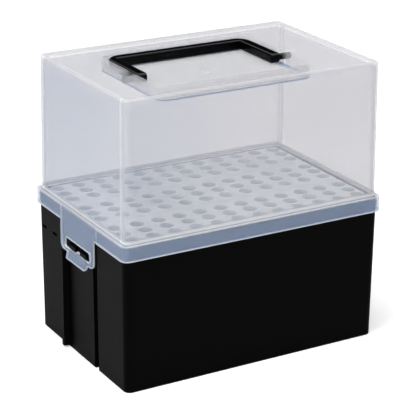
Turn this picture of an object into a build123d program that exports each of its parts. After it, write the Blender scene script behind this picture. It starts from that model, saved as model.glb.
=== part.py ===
"""Pen case: a black bin with three lift-out pen racks under a clear lift-off lid.

The lid has a carrying handle that folds down into a recess in its top, and a latch on each
end that hooks over two lugs on the bin. Millimetres, +Z up, the origin at the middle of the
footprint, the front towards -Y.
"""
import os

from build123d import *

os.makedirs("parts", exist_ok=True)

# Heights of the closed case
HEIGHT = 239.0
SHOULDER_Z = 124.5
BIN_RIM_Z = 122.7

# Lid: a drafted hood with a ledge and a skirt round its lower edge
LID_TOP = (230.0, 151.5)
LID_FOOT = (233.0, 154.5)
LID_WALL = 1.6
LID_TOP_CORNER = 4.6
LID_FOOT_CORNER = 5.6
LID_EDGE = 2.6
RIM_WIDTH = 2.6
RIM_HEIGHT = 3.3
SKIRT = (239.6, 161.0)
SKIRT_CORNER = 6.6
SKIRT_WALL = 1.8
SKIRT_DROP = 12.5
LEDGE = 1.8

# Recess in the lid's top, set back so that fingers reach the grip from the front
RECESS_HALF_X = 69.5
RECESS_FRONT = -46.0
RECESS_BACK = 57.0
RECESS_FLOOR_Z = HEIGHT - 13.5
RECESS_CORNER = 8.0
RECESS_DRAFT = 0.6

# Handle: a bail that turns on two pins of its own
HANDLE_HALF_X = 66.3
HANDLE_BACK = 55.5
ARM_WIDTH = 8.8
GRIP_WIDTH = 8.2
HANDLE_THICK = 8.5
HANDLE_OUTER_R = 12.0
HANDLE_EDGE = 2.0
HANDLE_UNDER_EDGE = 1.0
ARM_END_R = 3.6
PIVOT_Z = HEIGHT - 8.35
PIN_R = 2.7
PIN_END_X = 78.0
PIN_CHAMFER = 0.8
PIN_PLAY = 0.08
PIVOT_BOSS_R = 4.8
PIVOT_BOSS_X = 75.5

# Latch: a plate that continues the skirt, with a slot over the bin's lugs, a tongue that
# stands up between them, and a thumb tab
LATCH_WIDTH = 63.0
LATCH_THICK = 1.9
LATCH_BOTTOM_Z = 87.6
LATCH_CORNER = 5.0
LATCH_GAP = 0.3
SLOT_WIDTH = 38.0
SLOT_BOTTOM_Z = 90.4
SLOT_TOP_Z = 99.3
SLOT_CORNER = 2.6
TONGUE = (7.0, 2.4)
TAB_WIDTHS = (37.2, 28.8)
TAB_BOTTOM_Z = 83.7
TAB_FLARE = 4.0

# Bin: a drafted tub that is a little wider at its rim
BIN_TOP = (235.2, 156.6)
BIN_FOOT = (233.6, 155.0)
BIN_CORNER = 5.8
BIN_WALL = 2.2
BIN_FLOOR = 2.6
BIN_FOOT_EDGE = 1.0

# Lugs that the latches hook over
LUG_WIDTH = 11.0
LUG_Y = 9.7
LUG_REACH = 2.5
LUG_BOTTOM_Z = 90.5
LUG_TOP_Z = 98.0

# Rib and groove that line up cases standing side by side
LINK_Y = 25.9
RIB_REACH = 5.3
RIB_ROOT = 7.1
RIB_TIP = 3.5
RIB_BOTTOM_Z = 1.7
RIB_TOP_Z = 86.4
HOUSING_WALL = 1.5
GROOVE_DEPTH = 6.0
GROOVE_MOUTH = 7.5
GROOVE_FLOOR = 4.6
GROOVE_TOP_Z = 112.0

# Two shallow pockets beside each rib
POCKET_YS = (47.5, 67.3)
POCKET_SIZE = (7.6, 5.0)
POCKET_Z = 93.7
POCKET_DEPTH = 1.2

# Pen racks: a holed plate on three legs, with a grid near the floor that keeps pens upright.
# PLATE_CORNERS are the radii at the case's own corners and beside the next rack
COLUMNS = 12
ROWS = 3
COLUMN_PITCH = 19.12
ROW_PITCH = 13.86
RACK_PITCH = 51.8
PEN_HOLE_R = 5.8
PEN_HOLE_SIDES = 10
PLATE_HALF_X = 111.8
PLATE_REACH = 72.3
SEAM = 0.5
PLATE_THICK = 2.0
PLATE_CORNERS = (6.5, 2.5)
PLATE_EDGE = (6.0, 0.8)
GRID = (223.2, 40.2)
GRID_Z = 28.5
GRID_THICK = 2.5
CELL = 10.6
LEG_XS = {"left": -5 * COLUMN_PITCH, "middle": 0.0, "right": 5 * COLUMN_PITCH}
LEG_THICK = 2.0
LEG_WIDTH = 30.0
LEG_TONGUE = 24.0
LEG_PLAY = 0.15

PANEL_TOP_Z = HEIGHT - RIM_HEIGHT
PANEL_UNDER_Z = PANEL_TOP_Z - LID_WALL
SKIRT_BOTTOM_Z = SHOULDER_Z - SKIRT_DROP
LEDGE_UNDER_Z = SHOULDER_Z - LEDGE
PLATE_UNDER_Z = SHOULDER_Z - PLATE_THICK


def inset(size, distance):
    """A rectangle's size with every side moved in by distance."""
    return size[0] - 2 * distance, size[1] - 2 * distance


def drafted_block(low_z, low_size, low_corner, high_z, high_size, high_corner, mode=Mode.ADD):
    """A block with rounded corners, one size at its foot and another at its top."""
    with BuildSketch(Plane.XY.offset(low_z)) as low:
        RectangleRounded(*low_size, low_corner)
    with BuildSketch(Plane.XY.offset(high_z)) as high:
        RectangleRounded(*high_size, high_corner)
    loft([low.sketch, high.sketch], mode=mode)


def end_plane(z, turn):
    """A level plane whose -X points out of the left end, or with turn 180 of the right end."""
    return Plane.XY.offset(z).rotated((0, 0, turn))


def bin_half_x(z):
    """Half of the bin's outer length at height z."""
    return (BIN_FOOT[0] + (BIN_TOP[0] - BIN_FOOT[0]) * z / BIN_RIM_Z) / 2


def trapezoid(root_x, root_width, tip_x, tip_width, y):
    """A four-cornered outline across a side wall, symmetric about the line at y."""
    Polygon(
        (root_x, y - root_width / 2),
        (root_x, y + root_width / 2),
        (tip_x, y + tip_width / 2),
        (tip_x, y - tip_width / 2),
        align=None,
    )


def add_link_features(turn):
    """On one end of the bin: the rib, the groove with its housing inside, and two pockets."""
    face = bin_half_x(0)
    inner = face - BIN_WALL
    depth = GROOVE_DEPTH + HOUSING_WALL
    width = GROOVE_MOUTH + 2 * HOUSING_WALL
    with BuildSketch(end_plane(0, turn)) as housing:
        trapezoid(-inner - 0.5, width, -face + depth, width - 2, -LINK_Y)
    extrude(housing.sketch, GROOVE_TOP_Z + HOUSING_WALL)
    with BuildSketch(end_plane(0, turn)) as groove:
        trapezoid(-face - 1, GROOVE_MOUTH, -face + GROOVE_DEPTH, GROOVE_FLOOR, -LINK_Y)
    extrude(groove.sketch, GROOVE_TOP_Z, mode=Mode.SUBTRACT)
    with BuildSketch(end_plane(RIB_BOTTOM_Z, turn)) as rib:
        trapezoid(-inner - 0.5, RIB_ROOT, -face - RIB_REACH, RIB_TIP, LINK_Y)
    extrude(rib.sketch, RIB_TOP_Z - RIB_BOTTOM_Z)
    pocket_x = -bin_half_x(POCKET_Z) + POCKET_DEPTH / 2
    with BuildSketch(end_plane(POCKET_Z - POCKET_SIZE[1] / 2, turn)) as pockets:
        with Locations(*[(pocket_x, y) for y in POCKET_YS]):
            Rectangle(POCKET_DEPTH, POCKET_SIZE[0])
    extrude(pockets.sketch, POCKET_SIZE[1], mode=Mode.SUBTRACT)


def add_lugs(turn):
    """On one end of the bin: two lugs with a ramp on top and a slanted underside."""
    face = bin_half_x(LUG_BOTTOM_Z)
    tip = -face - LUG_REACH
    side = Plane.XZ.rotated((0, 0, turn))
    for y in (-LUG_Y, LUG_Y):
        with BuildSketch(side.offset(y)) as lug:
            Polygon(
                (-face + 0.8, LUG_BOTTOM_Z),
                (-face + 0.8, LUG_TOP_Z),
                (-face, LUG_TOP_Z),
                (tip, LUG_TOP_Z - 2.8),
                (tip, LUG_BOTTOM_Z + 1.6),
                (-face, LUG_BOTTOM_Z),
                align=None,
            )
        extrude(lug.sketch, LUG_WIDTH / 2, both=True)


def make_base_bin():
    """The black tub."""
    with BuildPart() as base_bin:
        drafted_block(0, BIN_FOOT, BIN_CORNER, BIN_RIM_Z, BIN_TOP, BIN_CORNER)
        fillet(base_bin.edges().group_by(Axis.Z)[0], BIN_FOOT_EDGE)
        inner_corner = BIN_CORNER - BIN_WALL
        drafted_block(
            BIN_FLOOR, inset(BIN_FOOT, BIN_WALL), inner_corner,
            BIN_RIM_Z, inset(BIN_TOP, BIN_WALL), inner_corner, Mode.SUBTRACT,
        )
        for turn in (0, 180):
            add_link_features(turn)
            add_lugs(turn)
    return base_bin


def cut_lid_inside():
    """Hollow the lid: inside the skirt, inside the hood, and the tray above its top panel."""
    with BuildSketch(Plane.XY.offset(SKIRT_BOTTOM_Z)) as skirt_bore:
        RectangleRounded(*inset(SKIRT, SKIRT_WALL), SKIRT_CORNER - SKIRT_WALL)
    extrude(skirt_bore.sketch, SKIRT_DROP - LEDGE, mode=Mode.SUBTRACT)
    drafted_block(
        LEDGE_UNDER_Z, inset(LID_FOOT, LID_WALL), LID_FOOT_CORNER - LID_WALL,
        PANEL_UNDER_Z, inset(LID_TOP, LID_WALL), LID_TOP_CORNER - LID_WALL, Mode.SUBTRACT,
    )
    drafted_block(
        PANEL_TOP_Z, inset(LID_TOP, RIM_WIDTH + 0.4), 2.0,
        HEIGHT, inset(LID_TOP, RIM_WIDTH), 2.4, Mode.SUBTRACT,
    )


def recess_block(low_z, high_z, grow, mode):
    """The recess's shape, made larger all round by grow."""
    depth = RECESS_BACK - RECESS_FRONT + 2 * grow
    middle = (RECESS_BACK + RECESS_FRONT) / 2
    width = 2 * (RECESS_HALF_X + grow)
    corner = RECESS_CORNER + grow
    with BuildSketch(Plane.XY.offset(low_z)) as low:
        with Locations((0, middle)):
            RectangleRounded(width - 2 * RECESS_DRAFT, depth - 2 * RECESS_DRAFT, corner)
    with BuildSketch(Plane.XY.offset(high_z)) as high:
        with Locations((0, middle)):
            RectangleRounded(width, depth, corner)
    loft([low.sketch, high.sketch], mode=mode)


def cut_pivots():
    """A boss on each side of the recess, bored for the handle's pins."""
    for side in (-1, 1):
        boss_middle = side * (PIVOT_BOSS_X + RECESS_HALF_X) / 2
        with BuildSketch(Plane.YZ.offset(boss_middle)) as boss:
            with Locations((0, PIVOT_Z)):
                Circle(PIVOT_BOSS_R)
        extrude(boss.sketch, (PIVOT_BOSS_X - RECESS_HALF_X) / 2, both=True)
    with BuildSketch(Plane.YZ) as bore:
        with Locations((0, PIVOT_Z)):
            Circle(PIN_R + PIN_PLAY)
    extrude(bore.sketch, PIVOT_BOSS_X + 1, both=True, mode=Mode.SUBTRACT)


def cut_latch_windows():
    """The gaps in the skirt and the ledge that the two latches fill."""
    middle = (SKIRT[0] - LATCH_THICK) / 2
    for side in (-1, 1):
        with BuildSketch(Plane.XY.offset(SKIRT_BOTTOM_Z)) as window:
            with Locations((side * middle, 0)):
                Rectangle(LATCH_THICK, LATCH_WIDTH + 2 * LATCH_GAP)
        extrude(window.sketch, SKIRT_DROP, mode=Mode.SUBTRACT)


def make_lid():
    """The clear hood with its ledge, skirt, rimmed top and handle recess."""
    with BuildPart() as lid:
        drafted_block(
            LEDGE_UNDER_Z, LID_FOOT, LID_FOOT_CORNER, HEIGHT, LID_TOP, LID_TOP_CORNER
        )
        fillet(lid.edges().group_by(Axis.Z)[-1], LID_EDGE)
        with BuildSketch(Plane.XY.offset(SKIRT_BOTTOM_Z)):
            RectangleRounded(*SKIRT, SKIRT_CORNER)
        extrude(amount=SKIRT_DROP)
        cut_lid_inside()
        recess_block(RECESS_FLOOR_Z - LID_WALL, PANEL_TOP_Z, LID_WALL, Mode.ADD)
        cut_pivots()
        recess_block(RECESS_FLOOR_Z, PANEL_TOP_Z, 0, Mode.SUBTRACT)
        cut_latch_windows()
    return lid


def make_handle():
    """The bail: two arms and a grip with soft edges, round arm ends and a pin on each arm."""
    arm_end = -HANDLE_THICK / 2
    grip_front = HANDLE_BACK - GRIP_WIDTH
    inner_r = HANDLE_OUTER_R - GRIP_WIDTH
    with BuildPart() as handle:
        with BuildSketch(Plane.XY.offset(PIVOT_Z - HANDLE_THICK / 2)) as bail:
            with Locations((0, (HANDLE_BACK + arm_end) / 2)):
                Rectangle(2 * HANDLE_HALF_X, HANDLE_BACK - arm_end)
            with Locations((0, (grip_front + arm_end) / 2)):
                inner_width = 2 * (HANDLE_HALF_X - ARM_WIDTH)
                Rectangle(inner_width, grip_front - arm_end, mode=Mode.SUBTRACT)
            fillet(bail.vertices().group_by(Axis.Y)[-1], HANDLE_OUTER_R)
            fillet(bail.vertices().group_by(Axis.Y)[1], inner_r)
        extrude(amount=HANDLE_THICK)
        ends = handle.faces().filter_by(Axis.Y).group_by(Axis.Y)[0]
        fillet(ends.edges().filter_by(Axis.X), ARM_END_R)
        top = handle.faces().sort_by(Axis.Z)[-1].edges()
        fillet(top.filter_by(lambda edge: edge.center().Y > 0), HANDLE_EDGE)
        under = handle.faces().sort_by(Axis.Z)[0].edges()
        chamfer(under.filter_by(lambda edge: edge.center().Y > 0), HANDLE_UNDER_EDGE)
        for side in (-1, 1):
            with BuildSketch(Plane.YZ.offset(side * (HANDLE_HALF_X - 1))):
                with Locations((0, PIVOT_Z)):
                    Circle(PIN_R)
            extrude(amount=side * (PIN_END_X - HANDLE_HALF_X + 1))
        tips = handle.edges().filter_by(GeomType.CIRCLE).group_by(Axis.X)
        chamfer(tips[0] + tips[-1], PIN_CHAMFER)
    return handle


def make_latch(turn):
    """A latch in its closed place, on the left end, or on the right end with turn 180."""
    outer = SKIRT[0] / 2
    tab_top = LATCH_BOTTOM_Z + 1
    with BuildPart() as latch:
        with BuildSketch(Plane.YZ.offset(-outer)) as plate:
            with Locations((0, (SHOULDER_Z + LATCH_BOTTOM_Z) / 2)):
                Rectangle(LATCH_WIDTH, SHOULDER_Z - LATCH_BOTTOM_Z)
            fillet(plate.vertices().group_by(Axis.Y)[0], LATCH_CORNER)
            with Locations((0, (SLOT_TOP_Z + SLOT_BOTTOM_Z) / 2)):
                slot_height = SLOT_TOP_Z - SLOT_BOTTOM_Z
                RectangleRounded(SLOT_WIDTH, slot_height, SLOT_CORNER, mode=Mode.SUBTRACT)
            with Locations((0, SLOT_BOTTOM_Z)):
                Rectangle(TONGUE[0], 2 * TONGUE[1])
        extrude(amount=LATCH_THICK)
        middle = -outer + LATCH_THICK / 2
        with BuildSketch(Plane.XY.offset(TAB_BOTTOM_Z)):
            with Locations((middle - TAB_FLARE, 0)):
                Rectangle(LATCH_THICK, TAB_WIDTHS[1])
        with BuildSketch(Plane.XY.offset(tab_top)):
            with Locations((middle, 0)):
                Rectangle(LATCH_THICK, TAB_WIDTHS[0])
        loft()
    with BuildPart() as turned:
        add(latch.part, rotation=(0, 0, turn))
    return turned


def plate_outline(front, back, margin):
    """A rack plate's outline, moved in all round by margin."""
    with BuildSketch() as outline:
        with Locations((0, (front + back) / 2)):
            Rectangle(*inset((2 * PLATE_HALF_X, back - front), margin))
        rows = outline.vertices().group_by(Axis.Y)
        for row, edge in ((rows[0], front), (rows[-1], back)):
            radius = PLATE_CORNERS[0] if abs(edge) == PLATE_REACH else PLATE_CORNERS[1]
            fillet(row, radius - margin)
    return outline.sketch


def make_rack_plate(y, front, back):
    """A rack's top plate with its 36 pen holes and a folded edge."""
    edge = plate_outline(front, back, 0) - plate_outline(front, back, PLATE_EDGE[1])
    with BuildPart() as rack_plate:
        with BuildSketch(Plane.XY.offset(PLATE_UNDER_Z)):
            add(plate_outline(front, back, 0))
            with Locations((0, y)):
                with GridLocations(COLUMN_PITCH, ROW_PITCH, COLUMNS, ROWS):
                    RegularPolygon(
                        PEN_HOLE_R, PEN_HOLE_SIDES, major_radius=False, mode=Mode.SUBTRACT
                    )
        extrude(amount=PLATE_THICK)
        with BuildSketch(Plane.XY.offset(PLATE_UNDER_Z)):
            add(edge)
        extrude(amount=-PLATE_EDGE[0])
    return rack_plate


def make_rack_leg(x, y):
    """A leg that stands on the bin's floor, with shoulders that carry the grid."""
    with BuildPart() as rack_leg:
        for width, foot_z in ((LEG_WIDTH, GRID_Z + GRID_THICK), (LEG_TONGUE, BIN_FLOOR)):
            with BuildSketch(Plane.XY.offset(PLATE_UNDER_Z)):
                with Locations((x, y)):
                    Rectangle(LEG_THICK, width)
            extrude(amount=foot_z - PLATE_UNDER_Z)
    return rack_leg


def make_rack_grid(y):
    """A rack's lower grid: square cells under the round holes, and slots for the legs."""
    with BuildPart() as rack_grid:
        with BuildSketch(Plane.XY.offset(GRID_Z)):
            with Locations((0, y)):
                Rectangle(*GRID)
                with GridLocations(COLUMN_PITCH, ROW_PITCH, COLUMNS, ROWS):
                    Rectangle(CELL, CELL, mode=Mode.SUBTRACT)
            with Locations(*[(x, y) for x in LEG_XS.values()]):
                slot = (LEG_THICK + 2 * LEG_PLAY, LEG_TONGUE + 2 * LEG_PLAY)
                Rectangle(*slot, mode=Mode.SUBTRACT)
        extrude(amount=GRID_THICK)
    return rack_grid


def save(piece, name):
    """Label a finished piece and write its file."""
    piece.part.label = name
    export_step(piece.part, f"parts/{name}.step")


save(make_base_bin(), "base_bin")
save(make_lid(), "lid")
save(make_handle(), "handle")
save(make_latch(0), "latch_left")
save(make_latch(180), "latch_right")
seam_y = (RACK_PITCH - SEAM) / 2
racks = {
    "back": (RACK_PITCH, seam_y + SEAM, PLATE_REACH),
    "middle": (0.0, -seam_y, seam_y),
    "front": (-RACK_PITCH, -PLATE_REACH, -seam_y - SEAM),
}
for place, (rack_y, front_edge, back_edge) in racks.items():
    save(make_rack_plate(rack_y, front_edge, back_edge), f"rack_{place}_plate")
    save(make_rack_grid(rack_y), f"rack_{place}_grid")
    for side, leg_x in LEG_XS.items():
        save(make_rack_leg(leg_x, rack_y), f"rack_{place}_leg_{side}")
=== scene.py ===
"""Finishes of a pen case: a milky clear lid and latches, a black bin and handle, pale pen racks.

The lid's plastic scatters light like thin milk. It looks blue-grey where the black bin is behind
it, nearly white where light comes through, and whiter still along its thick edges, where painted
highlights, painted refraction lines and painted light along its cut edges are added. The latches
and the racks' holed plates have meshes of their own, finer than those of the solids. The handle's
rounded edges get a painted highlight, and the racks' holes a painted glow.
"""

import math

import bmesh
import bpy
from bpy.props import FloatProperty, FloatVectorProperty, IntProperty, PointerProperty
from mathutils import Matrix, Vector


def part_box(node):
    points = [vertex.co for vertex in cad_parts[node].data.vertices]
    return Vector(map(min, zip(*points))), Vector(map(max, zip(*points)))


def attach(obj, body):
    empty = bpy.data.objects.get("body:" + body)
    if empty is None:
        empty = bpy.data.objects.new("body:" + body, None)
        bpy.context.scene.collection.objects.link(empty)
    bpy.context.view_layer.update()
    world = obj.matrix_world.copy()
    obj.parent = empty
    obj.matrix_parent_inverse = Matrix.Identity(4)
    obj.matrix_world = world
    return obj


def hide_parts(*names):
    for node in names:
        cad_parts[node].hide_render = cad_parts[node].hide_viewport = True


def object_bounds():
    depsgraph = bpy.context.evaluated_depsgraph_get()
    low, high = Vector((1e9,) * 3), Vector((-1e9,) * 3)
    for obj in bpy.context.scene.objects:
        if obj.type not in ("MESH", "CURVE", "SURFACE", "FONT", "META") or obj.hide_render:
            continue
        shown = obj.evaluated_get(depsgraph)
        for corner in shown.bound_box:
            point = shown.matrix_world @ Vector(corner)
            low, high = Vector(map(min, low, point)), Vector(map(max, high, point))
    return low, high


bl_info = {
    "name": "Pen Case",
    "version": (1, 0, 0),
    "blender": (4, 5, 0),
    "location": "View3D > Sidebar > Pen Case",
    "description": "Dresses the pen case in its plastics and sets up a plain studio",
    "category": "Object",
}

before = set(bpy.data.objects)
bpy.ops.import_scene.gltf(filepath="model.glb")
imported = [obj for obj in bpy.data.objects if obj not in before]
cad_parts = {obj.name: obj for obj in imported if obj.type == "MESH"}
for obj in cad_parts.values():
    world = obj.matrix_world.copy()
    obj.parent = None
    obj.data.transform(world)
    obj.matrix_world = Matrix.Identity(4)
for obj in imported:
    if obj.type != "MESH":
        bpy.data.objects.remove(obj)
cad_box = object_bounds()

# How far the hood's walls stand in from the skirt at their foot, and how much further at their top
HOOD_INSETS = (0.0033, 0.00325)
HOOD_DRAFT = 0.0015

# The handle's tray: its middle, half its length and depth, and how deep it is sunk
TRAY_Y = 0.0055
TRAY_REACHES = (0.0695, 0.0515)
TRAY_DEPTH = 0.0135

# Radius of the ring that moulding leaves in the middle of the tray's floor
MOULDING_MARK = 0.0032

# The clear stretch over each of the handle's pins: its middle, half its length and half its width
PIN_STRETCH_X, PIN_STRETCH_REACH, PIN_STRETCH_HALF = 0.0745, 0.0052, 0.0055

# The bin's finger pockets: their height and half their own height, the middle of a pair and how far
# the pair reaches from it, and between which distances from the case's middle their floors lie
POCKET_Z, POCKET_HALF_HEIGHT = 0.0937, 0.0024
POCKETS_Y, POCKETS_REACH = 0.0574, 0.0138
POCKET_FLOORS = (0.1160, 0.1169)

# The racks in steps of their pitch from the middle, and how their pen holes are spaced
RACKS = {"back": 1, "middle": 0, "front": -1}
RACK_PITCH = 0.0518
COLUMNS, ROWS = 12, 3
COLUMN_PITCH, ROW_PITCH = 0.01912, 0.01386

# A rack plate's thickness, that of its folded edge, and its corners' radii at the hood and between racks
PLATE_THICK, FOLD_THICK = 0.002, 0.0008
OUTER_CORNER, INNER_CORNER = 0.0065, 0.0025

# Each lamp's name, place, aim, size and power
LAMPS = (
    ("overhead_lamp", (-0.2, -0.1, 1.5), (0, 0, 0.10), (0.6, 0.45), 10.0),
    ("left_lamp", (-1.5, -0.5, 1.1), (0, 0, 0.12), (0.9, 0.9), 17.5),
    ("front_lamp", (0.5, -1.6, 1.2), (0, 0, 0.12), (1.0, 0.9), 8.0),
)

# The sky's light begins this far up, as a share of straight up, and is this strong below that
SKY_START, SKY_LOW = 0.45, 0.01

# How far the floor reaches from the case, and the order of its corners
FLOOR_REACH = 6.0
FLOOR_CORNERS = ((-1, -1), (1, -1), (1, 1), (-1, 1))


class Wire:
    """A socket in a node tree. Arithmetic on it adds Math nodes."""

    def __init__(self, nodes, socket):
        self.nodes = nodes
        self.socket = socket

    def math(self, operation, *others):
        values = dict(enumerate((self, *others)))
        return self.nodes.node("ShaderNodeMath", {"operation": operation}, values)

    def __add__(self, other):
        return self.math("ADD", other)

    def __sub__(self, other):
        return self.math("SUBTRACT", other)

    def __mul__(self, other):
        return self.math("MULTIPLY", other)

    def __truediv__(self, other):
        return self.math("DIVIDE", other)

    def __radd__(self, other):
        return self.math("ADD", other)

    def __rmul__(self, other):
        return self.math("MULTIPLY", other)

    def __rsub__(self, other):
        return self.nodes.node("ShaderNodeMath", {"operation": "SUBTRACT"}, {0: other, 1: self})

    def __pow__(self, other):
        return self.math("POWER", other)

    def __abs__(self):
        return self.math("ABSOLUTE")

    def most(self, other):
        return self.math("MAXIMUM", other)

    def step(self, low, high):
        """Rises smoothly from 0 where the value is low to 1 where it is high."""
        settings = {"interpolation_type": "SMOOTHSTEP"}
        inputs = {"Value": self, "From Min": low, "From Max": high}
        return self.nodes.node("ShaderNodeMapRange", settings, inputs)

    def fall(self, low, high):
        """Falls smoothly from 1 where the value is low to 0 where it is high."""
        return 1 - self.step(low, high)

    def close_to(self, value, inner, outer):
        """1 within inner of a value, and 0 beyond outer."""
        return abs(self - value).fall(inner, outer)


class Nodes:
    """The nodes and links that are added to the tree of a material or a world."""

    def __init__(self, owner):
        owner.use_nodes = True
        self.tree = owner.node_tree
        self.tree.nodes.clear()

    def node(self, kind, settings=None, inputs=None, output=0):
        """A new node of a kind, with its settings, and the values or links of its inputs."""
        node = self.tree.nodes.new(kind)
        for name, value in (settings or {}).items():
            setattr(node, name, value)
        for name, value in (inputs or {}).items():
            if isinstance(value, Wire):
                self.tree.links.new(value.socket, node.inputs[name])
            else:
                node.inputs[name].default_value = value
        return Wire(self, node.outputs[output])

    def apart(self, vector):
        """The X, Y and Z of a vector."""
        split = self.node("ShaderNodeSeparateXYZ", {}, {"Vector": vector}).socket.node
        return [Wire(self, socket) for socket in split.outputs]

    def end(self, kind, shader):
        """Links a shader to a new output node of a kind."""
        output = self.tree.nodes.new(kind)
        self.tree.links.new(shader.socket, output.inputs["Surface"])


class Finish(Nodes):
    """A material and its nodes."""

    def __init__(self, name):
        self.material = bpy.data.materials.new(name)
        super().__init__(self.material)

    def place(self):
        """A point in the case's own frame, in metres, and its X, Y and Z."""
        where = self.node("ShaderNodeTexCoord", output="Object")
        return where, self.apart(where)

    def facing(self):
        """The X, Y and Z of the direction that a face looks in, in the case's own frame."""
        return self.apart(self.node("ShaderNodeTexCoord", output="Normal"))

    def noise(self, where, size, detail=2.0, roughness=0.5):
        """Noise from 0 to 1 whose lumps are about size metres across."""
        inputs = {"Vector": where, "Scale": 1 / size, "Detail": detail, "Roughness": roughness}
        return self.node("ShaderNodeTexNoise", {}, inputs, "Fac")

    def blend(self, amount, first, second):
        """A colour that goes from first to second as amount goes from 0 to 1."""
        settings = {"data_type": "RGBA"}
        inputs = {"Factor": amount, 6: first, 7: second}
        return self.node("ShaderNodeMix", settings, inputs, 2)

    def bump(self, height, depth):
        """A normal from a height of 0 to 1 that stands for depth metres."""
        inputs = {"Height": height, "Distance": depth, "Strength": 1.0}
        return self.node("ShaderNodeBump", {}, inputs)

    def plastic(self, **inputs):
        """Ends the material in a Principled shader with these inputs."""
        named = {name.replace("_", " "): value for name, value in inputs.items()}
        self.end("ShaderNodeOutputMaterial", self.node("ShaderNodeBsdfPrincipled", {}, named))
        return self.material


def colour(value):
    """An opaque colour from a property's three numbers."""
    return (*value, 1.0)


def colour_property(name, description, default):
    return FloatVectorProperty(
        name=name, description=description, default=default,
        subtype="COLOR", size=3, min=0.0, max=1.0,
    )


def length_property(name, description, default):
    return FloatProperty(
        name=name, description=description, default=default, min=0.0, unit="LENGTH", precision=5,
    )


def span_property(name, description, default):
    return FloatVectorProperty(
        name=name, description=description, default=default, size=2, unit="LENGTH", precision=5,
    )


def share_property(name, description, default):
    return FloatProperty(
        name=name, description=description, default=default, min=0.0, max=1.0, subtype="FACTOR",
    )


class ClearPlastic(bpy.types.PropertyGroup):
    """The milky plastic of the lid and the latches."""

    hood: colour_property("Hood", "Colour that the hood's walls scatter", (0.65, 0.645, 0.70))
    hood_blue: colour_property("Hood, cool side", "The same on the left walls", (0.455, 0.492, 0.60))
    top: colour_property("Top", "Colour that the top panel and the tray scatter", (0.63, 0.63, 0.66))
    skirt: colour_property("Skirt", "Colour that the skirt and the latches scatter", (0.38, 0.484, 0.685))
    # Also the colour of the painted highlights and refraction lines along the lid's edges
    edge: colour_property("Edges", "Colour of the thick edges", (0.74, 0.74, 0.755))
    # Painted light that the plastic's cut edges let out, over whiter thick plastic
    lip: colour_property("Cut edges", "Colour of the lines along cut edges", (0.95, 0.95, 0.95))
    tray: colour_property("Tray floor", "The smooth floor under the handle", (0.60, 0.60, 0.61))
    tray_cover: share_property("Tray cover", "How much the tray's floor hides", 0.42)
    glow: colour_property("Tray edge", "Colour of the tray's lower edge", (0.02, 0.20, 0.45))
    hood_cover: share_property("Hood cover", "How much one face of the hood hides", 0.30)
    skirt_cover: share_property("Skirt cover", "How much one face of the skirt hides", 0.36)
    edge_cover: share_property("Edge cover", "How much one face of an edge hides", 0.56)
    lip_cover: share_property("Cut edge cover", "How much one face of a cut edge hides", 0.85)
    edge_width: length_property("Edge width", "How far the upright edges' whiteness reaches", 0.0050)
    lip_width: length_property("Lip width", "Width of the white lines along cut edges", 0.0009)
    roughness: share_property("Roughness", "Roughness of the moulded faces", 0.2)


class LatchShape(bpy.types.PropertyGroup):
    """A latch's outline, seen from outside at the left end. Its near side is the case's front."""

    thickness: length_property("Thickness", "Thickness of the plate", 0.0019)
    near: length_property("Near edge", "From the end's middle to the near edge", 0.0270)
    foot: length_property("Foot", "Height of the body's lower edge", 0.0872)
    corner: length_property("Corner", "Radius of the body's lower corners", 0.0050)
    slot: span_property("Slot", "The slot's near and far ends", (-0.0207, 0.0243))
    slot_foot: length_property("Slot foot", "Height of the slot's lower edge", 0.0906)
    slot_top: length_property("Slot top", "Height of the slot's upper edge", 0.0991)
    tongue: span_property("Tongue", "The near and far ends of the tongue's foot", (-0.0064, 0.0036))
    tongue_top: span_property("Tongue's top", "The ends of its upper edge", (-0.0054, 0.0026))
    tongue_rise: length_property("Tongue's height", "From the slot's foot to its top", 0.0021)
    tab: span_property("Tab", "The tab's near and far ends under the body", (-0.0163, 0.0204))
    tab_low: span_property("Tab's lower edge", "The ends of its lower edge", (-0.0148, 0.0190))
    tab_foot: length_property("Tab foot", "Height of the tab's lower edge", 0.0820)
    flare: length_property("Flare", "How far the tab's lower edge stands out", 0.0018)
    soft: length_property("Soft edge", "Width of the chamfer round the outer face", 0.00015)


class BlackPlastic(bpy.types.PropertyGroup):
    """The black plastic of the bin and the handle."""

    bin: colour_property("Bin", "Colour of the bin", (0.0008, 0.0008, 0.0010))
    handle: colour_property("Handle", "Colour of the handle", (0.0012, 0.0012, 0.0016))
    # A lighter grey painted on the handle's rounded edges as a highlight
    edge_highlights: colour_property("Soft edges", "Colour of the handle's soft edges", (0.040, 0.040, 0.042))
    grain: length_property("Grain", "Width of one grain of the moulded texture", 0.0006)
    grain_depth: length_property("Grain depth", "Depth of the moulded texture", 0.000012)
    bin_roughness: share_property("Bin roughness", "Roughness of the bin", 0.42)
    handle_roughness: share_property("Handle roughness", "Roughness of the handle", 0.12)


class RackPlastic(bpy.types.PropertyGroup):
    """The pale plastic of the pen racks."""

    plate: colour_property("Plate", "Colour of the racks", (0.92, 0.95, 0.98))
    hole: length_property("Pen hole", "Radius of a pen hole", 0.0058)
    hole_edge: length_property("Hole edge", "Radius of the soft edge round a pen hole", 0.0004)
    # Painted on as an emitted glow
    glow: colour_property("Glow", "Light that comes through the walls of the holes", (0.095, 0.115, 0.135))
    spread: share_property("Spread", "How much light spreads inside the plastic", 0.45)
    plate_edge: length_property("Plate edge", "Radius of the soft edge round a plate", 0.0003)
    sleeve: length_property("Sleeve", "Thickness of the sleeve under a pen hole", 0.0006)
    segments: IntProperty(
        name="Hole segments", description="Sides of a pen hole", default=32, min=12, max=96,
    )
    roughness: share_property("Roughness", "Roughness of the racks", 0.4)


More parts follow.
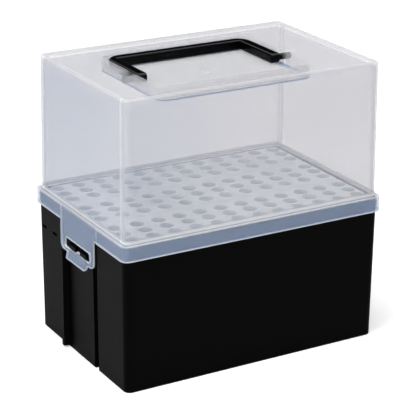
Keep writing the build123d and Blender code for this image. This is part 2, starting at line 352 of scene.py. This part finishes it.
class Studio(bpy.types.PropertyGroup):
    """The camera, the floor and the lamps."""

    azimuth: FloatProperty(
        name="Azimuth", description="How far the camera stands round to the left of the front",
        default=math.radians(30.267), subtype="ANGLE",
    )
    elevation: FloatProperty(
        name="Elevation", description="How far the camera looks down",
        default=math.radians(20.155), subtype="ANGLE",
    )
    roll: FloatProperty(
        name="Roll", description="How far the camera leans to the left",
        default=math.radians(0.509), subtype="ANGLE",
    )
    distance: length_property("Distance", "From the camera to the middle of the case", 1.4025)
    lens: FloatProperty(
        name="Lens", description="Focal length in millimetres on a 36 mm sensor", default=146.55,
    )
    shift_x: FloatProperty(name="Shift X", description="Sideways shift of the lens", default=0.0014)
    shift_y: FloatProperty(name="Shift Y", description="Upward shift of the lens", default=-0.0270)
    ambient: FloatProperty(name="Ambient", description="Light from above", default=1.1, min=0.0)
    floor: colour_property("Floor", "Colour of the floor", (0.80, 0.80, 0.80))
    floor_lift: FloatProperty(
        name="Floor lift", description="Light added to the floor for the camera alone", default=0.4,
    )


class CaseSettings(bpy.types.PropertyGroup):
    """All the settings of the pen case."""

    clear: PointerProperty(type=ClearPlastic)
    latch: PointerProperty(type=LatchShape)
    black: PointerProperty(type=BlackPlastic)
    rack: PointerProperty(type=RackPlastic)
    studio: PointerProperty(type=Studio)


def settings():
    return bpy.context.scene.pen_case


def dress(node, material):
    """Gives a node of the case its material and keeps its own flat and round faces as they are."""
    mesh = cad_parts[node].data
    mesh.materials.clear()
    mesh.materials.append(material)


def lid_lines(x, y, z, hood):
    """Masks of the lid's pale edges and white lines, which are partly thick plastic and partly painted
    highlights, refraction lines and edge light, and of the painted shade under its rim.

    The numbers of each step, fall or close_to are metres between which it rises or falls.
    """
    plastic = settings().clear
    width, lip = plastic.edge_width, plastic.lip_width
    low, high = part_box("lid")
    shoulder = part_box("latch_left")[1].z

    # How far a point lies outside the skirt, and outside the hood's walls at their foot
    out_x, out_y = abs(x) - high.x, abs(y) - high.y
    past_x, past_y = out_x + HOOD_INSETS[0], out_y + HOOD_INSETS[1]
    past = past_x.most(past_y)

    # The upright corners, a little paler, and beside each on the end wall a painted bright line that
    # stands for the light which refraction in the round corner makes
    draft = (z - shoulder) / (high.z - shoulder) * HOOD_DRAFT
    along = 0 - past_y - draft
    from_corner = along - past_x - draft
    corner = from_corner.fall(width * 0.66, width * 0.80) * hood
    refraction_line = along.fall(0.0088, 0.0098) * along.step(0.0015, 0.0080)
    refraction_line = refraction_line * past_x.step(-0.0035, -0.0031) * hood

    # The top edge with a painted highlight on its crest, the painted shade under it, and the ledge,
    # painted pale as the light on its rounded edge
    rim = z.step(high.z - 0.0034, high.z - 0.0012)
    crest_highlight = z.step(high.z - 0.0005, high.z - 0.0001)
    under_rim = z.close_to(high.z - 0.0040, 0.0002, 0.0010) * past.step(-0.0025, -0.0021)
    proud = past.step(0.0003, 0.0007)
    ledge = proud * z.step(shoulder - 0.0012, shoulder - 0.0003)

    # White lines painted at the feet of the skirt and of the walls and at the skirt's corners, partly
    # thick plastic and partly painted light that the plastic's edges let out
    foot = proud * (z - low.z).fall(lip * 0.3, lip * 0.8)
    wall_foot = z.fall(shoulder + 0.0016, shoulder + 0.0042) * hood
    skirt_corner = out_x.step(-0.0018, -0.0006) * out_y.step(-0.0018, -0.0006) * (1 - hood)
    # The pale edges: partly thick plastic, partly painted highlights and refraction lines
    edges = (corner * 0.12).most(refraction_line * 0.85).most(rim * 0.35).most(crest_highlight * 0.4).most(ledge)
    white = (foot * 0.8).most(skirt_corner * 0.35).most(wall_foot * 0.8)
    return edges, white, under_rim * 0.35


def tray_marks(x, y, z, floor_z):
    """Masks of the tray's lower edge, its floor, the ring in that and the stretch over each pin."""
    y_from_middle = y - TRAY_Y
    past = (abs(x) - TRAY_REACHES[0]).most(abs(y_from_middle) - TRAY_REACHES[1])
    glow = z.close_to(floor_z - 0.00105, 0.0004, 0.0009) * past.step(-0.004, -0.002)
    glow = glow * past.fall(0.002, 0.004)
    floor = z.close_to(floor_z, 0.0006, 0.0012) * past.fall(-0.008, -0.005)
    from_middle = (x * x + y_from_middle * y_from_middle) ** 0.5
    mark = from_middle.close_to(MOULDING_MARK, 0.0002, 0.0008)
    mark = mark * z.close_to(floor_z - 0.0003, 0.0004, 0.0010)
    clear = abs(x).close_to(PIN_STRETCH_X, PIN_STRETCH_REACH, PIN_STRETCH_REACH + 0.0010)
    clear = clear * abs(y).fall(PIN_STRETCH_HALF, PIN_STRETCH_HALF + 0.0010)
    return glow, floor, mark, clear * z.step(floor_z - 0.0005, floor_z + 0.0005)


def clear_finish(name):
    """Milky clear plastic, paler along the edges of the lid, with a smooth floor in the tray."""
    plastic = settings().clear
    skin = Finish(name)
    where, (x, y, z) = skin.place()
    top_z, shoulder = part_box("lid")[1].z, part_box("latch_left")[1].z
    floor_z = top_z - TRAY_DEPTH
    hood = z.step(shoulder - 0.0001, shoulder + 0.0006)
    skirt = 1 - hood
    edges, white, shade = lid_lines(x, y, z, hood)
    glow, floor, mark, clear = tray_marks(x, y, z, floor_z)

    # The plastic is cloudy, with level streaks that stand for soft painted reflections, and it is
    # cooler on the walls to the left
    cloud = skin.noise(where, 0.06, 3.0) - 0.5
    drawn_out = skin.node("ShaderNodeMapping", {}, {"Vector": where, "Scale": (0.35, 0.35, 3.0)})
    reflection_streaks = skin.noise(drawn_out, 0.05, 3.0, 0.6) - 0.5
    right_side = (x * 1.2 - y + cloud * 0.08).step(-0.14, 0.08)
    tint = skin.blend(right_side, colour(plastic.hood_blue), colour(plastic.hood))

    # The top panel, with the tray that hangs well inside the walls
    inside = (abs(x) - 0.1100).most(abs(y) - 0.0700).fall(0, 0.002)
    top = z.step(top_z - 0.0060, top_z - 0.0036)
    top = top.most(inside * z.step(floor_z - 0.0023, floor_z - 0.0017))
    # Over the tint go the painted shade under the rim, the pale edges with their painted highlights and
    # refraction lines, and the painted white light along the edges
    for amount, paint in (
        (top, plastic.top), (skirt, plastic.skirt), (shade, plastic.skirt),
        (glow, plastic.glow), (edges * 0.9, plastic.edge), (white, plastic.lip), (floor, plastic.tray),
    ):
        tint = skin.blend(amount, tint, colour(paint))
    cover = plastic.hood_cover
    for amount, share in (
        (skirt, plastic.skirt_cover), (edges, plastic.edge_cover), (white, plastic.lip_cover),
    ):
        cover = (share - plastic.hood_cover) * amount + cover
    cover = cover + glow * 0.6 + mark * 0.12 + cloud * 0.03 + reflection_streaks * 0.04
    cover = cover * (1 - clear * 0.75) + (plastic.tray_cover - plastic.hood_cover) * floor
    return moulded(skin, where, tint, cover, (plastic.roughness + cloud * 0.08) * (1 - floor * 0.85))


def latch_finish(name, side):
    """The latches' plastic: the skirt's colour, with painted light that whitens the cut edges looking up
    or to the near side and the low chamfers, and painted shade that fades the other cut faces.
    """
    plastic, shape = settings().clear, settings().latch
    skin = Finish(name)
    where, (x, y, z) = skin.place()
    across, along, up = skin.facing()
    across = abs(across)
    skirt_foot, top_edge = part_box("lid")[0].z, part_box("latch_left")[1].z

    # Painted light: cut edges that look up or to the near side are painted white as if lit, and the low
    # chamfers get a painted highlight. The rest fade as painted shade
    upright = across.fall(0.35, 0.6)
    slanted = across.fall(0.80, 0.95)
    lit = (up + along * side + 0.2).step(-0.3, 0.3)
    away = upright * (1 - lit)
    low_line = slanted * z.fall(shape.foot + 0.0040, shape.foot + 0.0060)
    cut = (upright * lit).most(low_line * (1 - away) * 0.9)
    away = away.most(slanted * (1 - low_line) * (1 - cut))
    top = z.step(top_edge - 0.0012, top_edge - 0.0003)
    cut = cut * (1 - top)

    # A faint line that carries the body's near edge on up to the ledge
    near_line = (-side * y).close_to(-shape.near, 0.0002, 0.0007)
    near_line = near_line * z.step(skirt_foot, skirt_foot + 0.0005)
    cloud = skin.noise(where, 0.03, 3.0) - 0.5
    tint = skin.blend(top, colour(plastic.skirt), colour(plastic.edge))
    tint = skin.blend((cut * 0.9).most(near_line * 0.3), tint, colour(plastic.lip))
    cover = plastic.skirt_cover + cloud * 0.03
    cover = cover + (plastic.edge_cover - plastic.skirt_cover) * top
    cover = (cover + (plastic.lip_cover - plastic.skirt_cover) * cut) * (1 - away * 0.9)
    return moulded(skin, where, tint, cover, plastic.roughness + cloud * 0.08)


def moulded(skin, where, tint, cover, roughness):
    """Ends the lid's or a latch's plastic, whose faces ripple a little."""
    ripple = skin.noise(where, 0.012, 1.0)
    return skin.plastic(
        Base_Color=tint, Alpha=cover, Roughness=roughness,
        Normal=skin.bump(ripple, 0.00002), Specular_IOR_Level=0.35,
    )


def in_pockets(x, y, z):
    """1 on the floors of the bin's finger pockets."""
    nearer, further = POCKET_FLOORS
    height = z.close_to(POCKET_Z, POCKET_HALF_HEIGHT, POCKET_HALF_HEIGHT + 0.0003)
    depth = abs(x).step(nearer, nearer + 0.0001) * abs(x).fall(further, further + 0.0002)
    return height * depth * abs(y).close_to(POCKETS_Y, POCKETS_REACH, POCKETS_REACH + 0.0003)


def black_finish(name, base, roughness, specular, edge_highlights=0):
    """Black moulded plastic with a fine even grain, dull in the pockets.

    Where the last argument is 1, the rounded upper edges are painted a lighter grey as a highlight.
    """
    plastic = settings().black
    skin = Finish(name)
    where, (x, y, z) = skin.place()
    up = skin.facing()[2]
    edge_highlight = up.step(0.55, 0.75) * up.fall(0.85, 0.97) * edge_highlights
    grain = skin.noise(where, plastic.grain, 1.0)
    smear = skin.noise(where, 0.04, 4.0, 0.6) - 0.5
    tint = skin.blend(smear.step(-0.2, 0.3), colour(base), colour([1.3 * c for c in base]))
    return skin.plastic(
        Base_Color=skin.blend(edge_highlight, tint, colour(plastic.edge_highlights)),
        Roughness=roughness + smear * 0.12 + (grain - 0.5) * 0.08 + in_pockets(x, y, z) * 0.5,
        Normal=skin.bump(grain, plastic.grain_depth),
        Specular_IOR_Level=specular,
    )


def rack_finish(name):
    """Pale satin plastic that lets some light through, with a painted glow inside its deep holes that
    stands for the light coming through their walls.
    """
    plastic = settings().rack
    skin = Finish(name)
    where, (x, y, z) = skin.place()
    low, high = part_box("rack_middle_plate")
    # A painted glow, given as emission, in the holes below the plate's top
    deep = z.step(low.z, low.z + 0.0010) * z.fall(high.z - 0.0022, high.z - 0.0002)
    cloud = skin.noise(where, 0.03, 3.0) - 0.5
    fine = skin.noise(where, 0.0008, 1.0)
    shade = colour([0.94 * c for c in plastic.plate])
    return skin.plastic(
        Base_Color=skin.blend(cloud.step(-0.3, 0.3), colour(plastic.plate), shade),
        Roughness=plastic.roughness + cloud * 0.1,
        Normal=skin.bump(fine, 0.000008),
        Specular_IOR_Level=0.4,
        Subsurface_Weight=plastic.spread,
        Subsurface_Radius=(1.0, 1.0, 1.0),
        Subsurface_Scale=0.004,
        Emission_Color=skin.blend(deep, (0, 0, 0, 1), colour(plastic.glow)),
        Emission_Strength=1.0,
    )


def ring(mesh, x, y, z, radius, segments):
    """A circle of new vertices."""
    points = []
    for step in range(segments):
        turn = 2 * math.pi * step / segments
        points.append(mesh.verts.new((x + radius * math.cos(turn), y + radius * math.sin(turn), z)))
    return points


def bridge(mesh, first, second):
    """Smooth faces between two closed rows of the same number of vertices."""
    for i in range(len(first)):
        j = (i + 1) % len(first)
        mesh.faces.new((first[i], first[j], second[j], second[i])).smooth = True


def sheet(mesh, rows, facing):
    """A flat sheet between an outline and the rims of its holes."""
    edges = []
    for row in rows:
        for i in range(len(row)):
            edge = mesh.edges.get((row[i - 1], row[i])) or mesh.edges.new((row[i - 1], row[i]))
            edges.append(edge)
    filled = bmesh.ops.triangle_fill(mesh, edges=edges, use_beauty=True, normal=facing)
    faces = [item for item in filled["geom"] if isinstance(item, bmesh.types.BMFace)]
    if not faces:
        raise RuntimeError("a flat sheet has no faces")
    for face in faces:
        if face.normal.dot(facing) < 0:
            face.normal_flip()


def new_piece(name, mesh, material):
    """An object made from a finished mesh."""
    data = bpy.data.meshes.new(name)
    mesh.to_mesh(data)
    mesh.free()
    data.materials.append(material)
    piece = bpy.data.objects.new(name, data)
    bpy.context.scene.collection.objects.link(piece)
    return piece


def rounded(corners, steps=4):
    """A closed outline through corners, each a place and a radius."""
    points = []
    for i, (place, radius) in enumerate(corners):
        here = Vector(place)
        back = (Vector(corners[i - 1][0]) - here).normalized()
        on = (Vector(corners[(i + 1) % len(corners)][0]) - here).normalized()
        half = back.angle(on) / 2
        middle = here + (back + on).normalized() * radius / math.sin(half)
        first = (here + back * radius / math.tan(half) - middle).normalized()
        last = (here + on * radius / math.tan(half) - middle).normalized()
        for step in range(steps + 1):
            points.append(middle + first.slerp(last, step / steps) * radius)
    return points


def moved_in(points, distance):
    """A closed outline moved by distance to the left of its direction."""
    moved = []
    for i, here in enumerate(points):
        runs = (here - points[i - 1], points[(i + 1) % len(points)] - here)
        first, second = (Vector((-run.y, run.x)).normalized() for run in runs)
        moved.append(here + (first + second) * distance / (1 + first.dot(second)))
    return moved


def latch_outlines(shape, half, top, skirt_foot):
    """The outer outline, and the slot with its tongue, of a latch in its own plane."""
    (slot_near, slot_far), (tab_near, tab_far) = shape.slot, shape.tab
    (low_near, low_far), (tongue_near, tongue_far) = shape.tab_low, shape.tongue
    outline = rounded((
        ((half, top), 0.0001), ((-half, top), 0.0001), ((-half, skirt_foot), 0.0003),
        ((-shape.near, skirt_foot), 0.0003), ((-shape.near, shape.foot), shape.corner),
        ((tab_near, shape.foot), 0.0006), ((low_near, shape.tab_foot), 0.0026),
        ((low_far, shape.tab_foot), 0.0012), ((tab_far, shape.foot), 0.0006),
        ((half, shape.foot), shape.corner),
    ))
    tongue_z = shape.slot_foot + shape.tongue_rise
    slot = rounded((
        ((slot_near, shape.slot_top), 0.0022), ((slot_far, shape.slot_top), 0.0014),
        ((slot_far, shape.slot_foot), 0.0020), ((tongue_far, shape.slot_foot), 0.0003),
        ((shape.tongue_top[1], tongue_z), 0.0006), ((shape.tongue_top[0], tongue_z), 0.0006),
        ((tongue_near, shape.slot_foot), 0.0003), ((slot_near, shape.slot_foot), 0.0022),
    ))
    return outline, slot


def make_latch(node, side, finish):
    """A latch with a chamfered face, a slot with a tongue, and a thumb tab bent outwards."""
    shape = settings().latch
    low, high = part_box(node)
    inner = min(abs(low.x), abs(high.x))
    outer = inner + shape.thickness
    crease = shape.foot - 0.0002
    mesh = bmesh.new()
    fronts, backs = [], []
    for points in latch_outlines(shape, high.y, high.z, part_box("lid")[0].z):
        rows = [
            [mesh.verts.new((x, point.x, point.y)) for point in moved_in(points, inset)]
            for x, inset in ((outer, shape.soft), (outer - shape.soft, 0), (inner, 0))
        ]
        bridge(mesh, rows[0], rows[1])
        bridge(mesh, rows[1], rows[2])
        fronts.append(rows[0])
        backs.append(rows[2])
    sheet(mesh, fronts, Vector((1, 0, 0)))
    sheet(mesh, backs, Vector((-1, 0, 0)))
    everything = mesh.verts[:] + mesh.edges[:] + mesh.faces[:]
    bmesh.ops.bisect_plane(mesh, geom=everything, plane_co=(0, 0, crease), plane_no=(0, 0, 1))
    for vert in mesh.verts:
        if vert.co.z < crease:
            vert.co.x += shape.flare * (crease - vert.co.z) / (crease - shape.tab_foot)
        vert.co.x *= side
        vert.co.y *= -side
    bmesh.ops.recalc_face_normals(mesh, faces=mesh.faces)
    for face in mesh.faces:
        face.smooth = True
    latch = new_piece(f"{node}_finish", mesh, finish)
    latch.data.set_sharp_from_angle(angle=math.radians(35))
    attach(latch, node)
    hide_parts(node)


def outline_row(mesh, node, inset, z, steps=6):
    """A closed row of vertices along a plate's rounded outline, moved in by inset."""
    low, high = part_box(node)
    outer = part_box("rack_back_plate")[1].y
    front, back = (
        OUTER_CORNER if math.isclose(abs(y), outer, abs_tol=1e-4) else INNER_CORNER for y in (low.y, high.y)
    )
    corners = (
        (high.x - front, low.y + front, front), (high.x - back, high.y - back, back),
        (low.x + back, high.y - back, back), (low.x + front, low.y + front, front),
    )
    row = []
    for quarter, (x, y, radius) in enumerate(corners):
        for step in range(steps + 1):
            turn = math.pi / 2 * (quarter - 1 + step / steps)
            reach = radius - inset
            row.append(mesh.verts.new((x + reach * math.cos(turn), y + reach * math.sin(turn), z)))
    return row


def soft_curve(radius, z, steps=3):
    """How far in, and how high, a soft edge runs that ends at a height of z."""
    turns = [math.pi / 2 * step / steps for step in range(steps + 1)]
    return [(radius * (1 - math.cos(turn)), z - radius * (1 - math.sin(turn))) for turn in turns]


def make_plate(place, material):
    """A rack's top plate with a folded edge, and round, soft-edged pen holes in sleeves."""
    rack = settings().rack
    node = f"rack_{place}_plate"
    low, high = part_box(node)
    under = high.z - PLATE_THICK
    mesh = bmesh.new()
    side = [outline_row(mesh, node, 0, low.z)]
    for inset, z in soft_curve(rack.plate_edge, high.z):
        side.append(outline_row(mesh, node, inset, z))
    for first, second in zip(side, side[1:]):
        bridge(mesh, first, second)
    inner_low = outline_row(mesh, node, FOLD_THICK, low.z)
    inner_high = outline_row(mesh, node, FOLD_THICK, under)
    bridge(mesh, inner_low, side[0])
    bridge(mesh, inner_high, inner_low)

    # Each hole runs down the outside of its sleeve, up its inside and out over the soft edge
    sleeve = rack.hole + rack.sleeve
    walls = [(sleeve, under), (sleeve, low.z), (rack.hole, low.z), (rack.hole, under)]
    walls += [(rack.hole + inset, z) for inset, z in soft_curve(rack.hole_edge, high.z)]
    tops, unders = [], []
    for column in range(COLUMNS):
        for line in range(ROWS):
            x = (column - (COLUMNS - 1) / 2) * COLUMN_PITCH
            y = RACKS[place] * RACK_PITCH + (line - (ROWS - 1) / 2) * ROW_PITCH
            throat = [ring(mesh, x, y, z, radius, rack.segments) for radius, z in walls]
            for first, second in zip(throat, throat[1:]):
                bridge(mesh, second, first)
            tops.append(throat[-1])
            unders.append(throat[3])
    sheet(mesh, [side[-1], *tops], Vector((0, 0, 1)))
    sheet(mesh, [inner_high, *unders], Vector((0, 0, -1)))
    plate = new_piece(f"{node}_finish", mesh, material)
    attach(plate, f"rack_{place}")
    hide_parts(node)


class PENCASE_OT_bin(bpy.types.Operator):
    """Dress the black bin"""

    bl_idname = "pencase.bin"
    bl_label = "Bin"

    def execute(self, context):
        black = settings().black
        dress("base_bin", black_finish("black_bin_plastic", black.bin, black.bin_roughness, 0.03))
        return {"FINISHED"}


class PENCASE_OT_lid(bpy.types.Operator):
    """Dress the clear lid"""

    bl_idname = "pencase.lid"
    bl_label = "Lid"

    def execute(self, context):
        dress("lid", clear_finish("milky_clear_plastic"))
        return {"FINISHED"}


class PENCASE_OT_latches(bpy.types.Operator):
    """Make the two latches"""

    bl_idname = "pencase.latches"
    bl_label = "Latches"

    def execute(self, context):
        for node, side in (("latch_left", -1), ("latch_right", 1)):
            finish = latch_finish(f"milky_{node}_plastic", side)
            dress(node, finish)
            make_latch(node, side, finish)
        return {"FINISHED"}


class PENCASE_OT_handle(bpy.types.Operator):
    """Dress the folding handle"""

    bl_idname = "pencase.handle"
    bl_label = "Handle"

    def execute(self, context):
        black = settings().black
        finish = black_finish("black_handle_plastic", black.handle, black.handle_roughness, 0.07, 1)
        dress("handle", finish)
        return {"FINISHED"}


class PENCASE_OT_racks(bpy.types.Operator):
    """Make the pen racks' round-holed plates and dress their legs and grids"""

    bl_idname = "pencase.racks"
    bl_label = "Pen racks"

    def execute(self, context):
        pale = rack_finish("pale_rack_plastic")
        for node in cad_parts:
            if node.startswith("rack_"):
                dress(node, pale)
        for place in RACKS:
            make_plate(place, pale)
        return {"FINISHED"}


def add_camera(studio):
    """The camera at the photograph's angle."""
    lens = bpy.data.cameras.new("camera")
    lens.sensor_fit = "HORIZONTAL"
    lens.sensor_width = 36.0
    lens.lens = studio.lens
    lens.shift_x = studio.shift_x
    lens.shift_y = studio.shift_y
    camera = bpy.data.objects.new("camera", lens)
    bpy.context.scene.collection.objects.link(camera)
    level = math.cos(studio.elevation)
    away = Vector((
        -math.sin(studio.azimuth) * level, -math.cos(studio.azimuth) * level,
        math.sin(studio.elevation),
    ))
    middle = Vector((0, 0, cad_box[1][2] / 2))
    turn = away.to_track_quat("Z", "Y").to_matrix().to_4x4()
    lean = Matrix.Rotation(studio.roll, 4, "Z")
    camera.matrix_world = Matrix.Translation(middle + away * studio.distance) @ turn @ lean
    bpy.context.scene.camera = camera


def add_lamp(name, place, aim, size, power):
    """A soft square lamp at place that points at aim."""
    light = bpy.data.lights.new(name, "AREA")
    light.shape = "RECTANGLE"
    light.size, light.size_y = size
    light.energy = power
    lamp = bpy.data.objects.new(name, light)
    bpy.context.scene.collection.objects.link(lamp)
    place = Vector(place)
    turn = (place - Vector(aim)).to_track_quat("Z", "Y").to_matrix().to_4x4()
    lamp.matrix_world = Matrix.Translation(place) @ turn


def add_world(studio):
    """Light from above that fades towards the horizon, and white for the camera."""
    world = bpy.data.worlds.new("studio")
    bpy.context.scene.world = world
    sky = Nodes(world)
    height = sky.apart(sky.node("ShaderNodeTexCoord", output="Generated"))[2]
    light = height.step(SKY_START, 1.0) * (studio.ambient - SKY_LOW) + SKY_LOW
    ray = sky.node("ShaderNodeLightPath", output="Is Camera Ray")
    inputs = {"Color": (1, 1, 1, 1), "Strength": light + ray * (1 - light)}
    sky.end("ShaderNodeOutputWorld", sky.node("ShaderNodeBackground", {}, inputs))


def add_floor(studio):
    """A pale floor that keeps the case's shadow and is lifted to white for the camera."""
    skin = Finish("studio_floor")
    ray = skin.node("ShaderNodeLightPath", output="Is Camera Ray")
    skin.plastic(
        Base_Color=colour(studio.floor), Roughness=0.9, Specular_IOR_Level=0.0,
        Emission_Color=skin.blend(ray, (0, 0, 0, 1), [studio.floor_lift] * 3 + [1]),
        Emission_Strength=1.0,
    )
    mesh = bpy.data.meshes.new("floor")
    corners = [(FLOOR_REACH * x, FLOOR_REACH * y, 0) for x, y in FLOOR_CORNERS]
    mesh.from_pydata(corners, [], [(0, 1, 2, 3)])
    mesh.materials.append(skin.material)
    floor = bpy.data.objects.new("floor", mesh)
    bpy.context.scene.collection.objects.link(floor)


class PENCASE_OT_stage(bpy.types.Operator):
    """Add the camera, the floor and the soft studio light"""

    bl_idname = "pencase.stage"
    bl_label = "Stage"

    def execute(self, context):
        studio = settings().studio
        add_camera(studio)
        add_world(studio)
        add_floor(studio)
        for lamp in LAMPS:
            add_lamp(*lamp)
        context.scene.view_settings.view_transform = "Standard"
        return {"FINISHED"}


class PENCASE_PT_panel(bpy.types.Panel):
    """The pen case's settings and steps"""

    bl_idname = "PENCASE_PT_panel"
    bl_label = "Pen Case"
    bl_space_type = "VIEW_3D"
    bl_region_type = "UI"
    bl_category = "Pen Case"

    def draw(self, context):
        case = context.scene.pen_case
        for group in (case.clear, case.latch, case.black, case.rack, case.studio):
            box = self.layout.box()
            for name in type(group).__annotations__:
                box.prop(group, name)
        for operator in OPERATORS:
            self.layout.operator(operator.bl_idname)


GROUPS = (ClearPlastic, LatchShape, BlackPlastic, RackPlastic, Studio, CaseSettings)
OPERATORS = (
    PENCASE_OT_bin,
    PENCASE_OT_lid,
    PENCASE_OT_latches,
    PENCASE_OT_handle,
    PENCASE_OT_racks,
    PENCASE_OT_stage,
)


def register():
    for kind in (*GROUPS, *OPERATORS, PENCASE_PT_panel):
        bpy.utils.register_class(kind)
    bpy.types.Scene.pen_case = PointerProperty(type=CaseSettings)


def unregister():
    del bpy.types.Scene.pen_case
    for kind in reversed((*GROUPS, *OPERATORS, PENCASE_PT_panel)):
        bpy.utils.unregister_class(kind)


def main():
    register()
    bpy.ops.pencase.bin()
    bpy.ops.pencase.lid()
    bpy.ops.pencase.latches()
    bpy.ops.pencase.handle()
    bpy.ops.pencase.racks()
    bpy.ops.pencase.stage()


if __name__ == "__main__":
    main()
